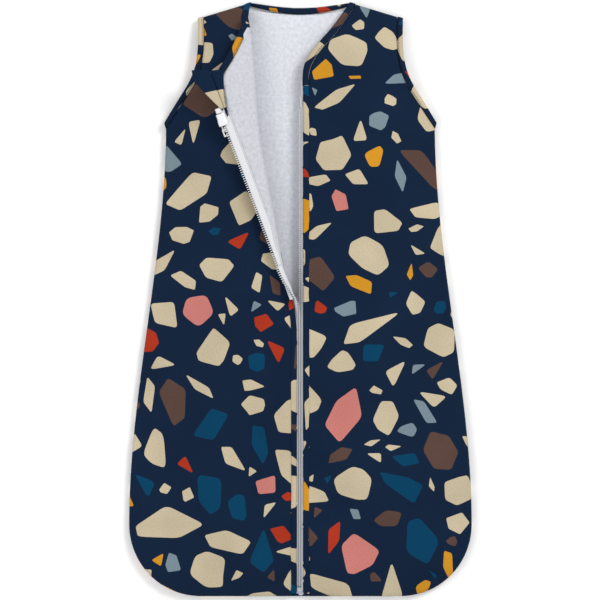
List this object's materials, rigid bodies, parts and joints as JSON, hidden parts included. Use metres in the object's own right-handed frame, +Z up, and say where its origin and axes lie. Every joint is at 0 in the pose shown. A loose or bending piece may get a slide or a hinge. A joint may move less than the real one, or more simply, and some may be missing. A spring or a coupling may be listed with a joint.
{
  "type": "baby sleeping bag",
  "caption": "Sleeveless padded baby sleeping bag lying flat, with a full-length front zip, its upper left front folded out as a lapel, bound neck and armholes and a chin guard.",
  "frame": {"origin": "middle of the bag's plan, on the surface it lies on", "axes": "+Y towards the neck, +X to the viewer's right from above, +Z up from the back panel"},
  "size_m": [0.404, 0.7, 0.0479],
  "materials": {
    "printed_jersey": "fine jersey with a scattered chip print",
    "lining_jersey": "brushed white jersey",
    "wadding": "polyester wadding",
    "zip_tape": "woven white tape",
    "zip_plastic": "moulded white plastic",
    "slider_coat": "white coated zinc"
  },
  "bodies": {
    "bag": {"outer_back": "printed_jersey", "wadding_back": "wadding", "lining_back": "lining_jersey", "outer_front_right": "printed_jersey", "wadding_front_right": "wadding", "lining_front_right": "lining_jersey", "outer_front_left": "printed_jersey", "wadding_front_left": "wadding", "lining_front_left": "lining_jersey", "outer_fold": "printed_jersey", "wadding_fold": "wadding", "lining_fold": "lining_jersey", "neck_binding": "printed_jersey", "armhole_binding_right": "printed_jersey", "armhole_binding_left": "printed_jersey", "placket_right": "printed_jersey", "placket_left": "printed_jersey", "zip_tape_right": "zip_tape", "zip_tape_left": "zip_tape", "zip_teeth_right": "zip_plastic", "zip_teeth_left": "zip_plastic", "zip_turn": "zip_plastic", "insertion_pin": "zip_plastic", "bottom_stop": "zip_plastic"},
    "lapel": {"outer_lapel": "printed_jersey", "wadding_lapel": "wadding", "lining_lapel": "lining_jersey", "placket_lapel": "printed_jersey", "zip_tape_lapel": "zip_tape", "zip_teeth_lapel": "zip_plastic", "lapel_binding": "printed_jersey", "retainer_box": "zip_plastic", "chin_guard_base": "printed_jersey"},
    "slider": {"slider_body": "slider_coat", "slider_cap": "slider_coat"},
    "pull": {"zip_pull": "slider_coat"},
    "chin_guard": {"chin_guard": "printed_jersey"}
  },
  "joints": [
    {"name": "lapel_fold", "type": "hinge", "parent": "bag", "child": "lapel", "pos_m": [-0.001, -0.035, 0.0245], "axis": [-0.1805, 0.9836, 0], "range_deg": [0, 169], "deforming": ["outer_fold", "wadding_fold", "lining_fold", "zip_turn"]},
    {"name": "slider_run", "type": "slide", "parent": "lapel", "child": "slider", "axis": [0.3518, -0.9354, -0.0344], "range_m": [0, 0.185]},
    {"name": "pull_swing", "type": "hinge", "parent": "slider", "child": "pull", "pos_m": [-0.0902, 0.20343, 0.03563], "axis": [0.9171, 0.3518, -0.1877], "range_deg": [0, 170]},
    {"name": "guard_fold", "type": "hinge", "parent": "lapel", "child": "chin_guard", "pos_m": [-0.09739, 0.24559, 0.04225], "axis": [-0.3518, 0.9354, 0.0344], "range_deg": [0, 168]}
  ]
}
